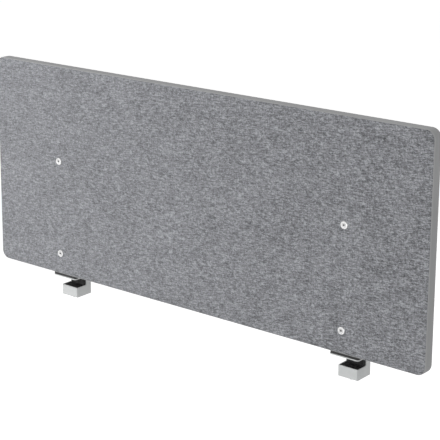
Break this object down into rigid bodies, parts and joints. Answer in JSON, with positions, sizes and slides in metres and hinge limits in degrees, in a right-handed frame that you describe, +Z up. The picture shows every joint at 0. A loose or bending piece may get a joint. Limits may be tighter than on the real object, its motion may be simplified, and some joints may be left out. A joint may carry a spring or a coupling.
{
  "type": "acoustic divider screen",
  "caption": "Felt-faced acoustic screen with a smooth edge band, bolted to uprights on screw clamps that grip a desk's back edge.",
  "frame": {"origin": "on the desk top's surface, midway between the two clamps, under the panel's mid-plane", "axes": "+X along the screen, -Y towards the side with the flat bolt heads, +Z up"},
  "size_m": [1.2, 0.0787, 0.57],
  "materials": {
    "timber": "sawn softwood",
    "dowel": "turned beech",
    "core": "pressed fibre board",
    "felt": "melange grey felt",
    "edge_band": "fine matt grey",
    "silver_steel": "silver powder coat",
    "silver_casting": "silver powder coat",
    "rubber": "matt black rubber",
    "black_plastic": "moulded black nylon",
    "nickel_steel": "bright nickel plate",
    "zinc_steel": "zinc plate"
  },
  "bodies": {
    "screen": {"bottom_rail": "timber", "top_rail": "timber", "end_stile_left": "timber", "end_stile_right": "timber", "post_left": "timber", "post_right": "timber", "frame_dowels": "dowel", "core_left": "core", "core_middle": "core", "core_right": "core", "front_felt": "felt", "back_felt": "felt", "edge_band": "edge_band", "upright_left": "silver_steel", "upright_right": "silver_steel", "jaw_plate_left": "silver_steel", "jaw_plate_right": "silver_steel", "panel_rest_left": "rubber", "panel_rest_right": "rubber", "jaw_liner_left": "rubber", "jaw_liner_right": "rubber", "housing_left": "silver_casting", "housing_right": "silver_casting", "edge_bumper_left": "rubber", "edge_bumper_right": "rubber", "panel_bolts_left": "nickel_steel", "panel_bolts_right": "nickel_steel", "sleeve_nuts_left": "nickel_steel", "sleeve_nuts_right": "nickel_steel", "spine_screws_left": "zinc_steel", "spine_screws_right": "zinc_steel", "foot_screws_left": "zinc_steel", "foot_screws_right": "zinc_steel"},
    "pad_left": {"pad_body_left": "black_plastic", "pad_rubber_left": "rubber"},
    "pad_right": {"pad_body_right": "black_plastic", "pad_rubber_right": "rubber"},
    "screw_left": {"clamp_screw_left": "zinc_steel"},
    "screw_right": {"clamp_screw_right": "zinc_steel"}
  },
  "joints": [
    {"name": "pad_left_lift", "type": "slide", "parent": "screen", "child": "pad_left", "axis": [0, 0, 1], "range_m": [0, 0.014]},
    {"name": "screw_left_turn", "type": "hinge", "parent": "pad_left", "child": "screw_left", "pos_m": [-0.4, 0.0305, -0.0439], "axis": [0, 0, 1], "range_deg": [0, 4032]},
    {"name": "pad_right_lift", "type": "slide", "parent": "screen", "child": "pad_right", "axis": [0, 0, 1], "range_m": [0, 0.014]},
    {"name": "screw_right_turn", "type": "hinge", "parent": "pad_right", "child": "screw_right", "pos_m": [0.4, 0.0305, -0.0439], "axis": [0, 0, 1], "range_deg": [0, 4032]}
  ],
  "couplings": [
    {"joint": "screw_left_turn", "follows": "pad_left_lift", "rad_per_m": 5026.5},
    {"joint": "screw_right_turn", "follows": "pad_right_lift", "rad_per_m": 5026.5}
  ]
}
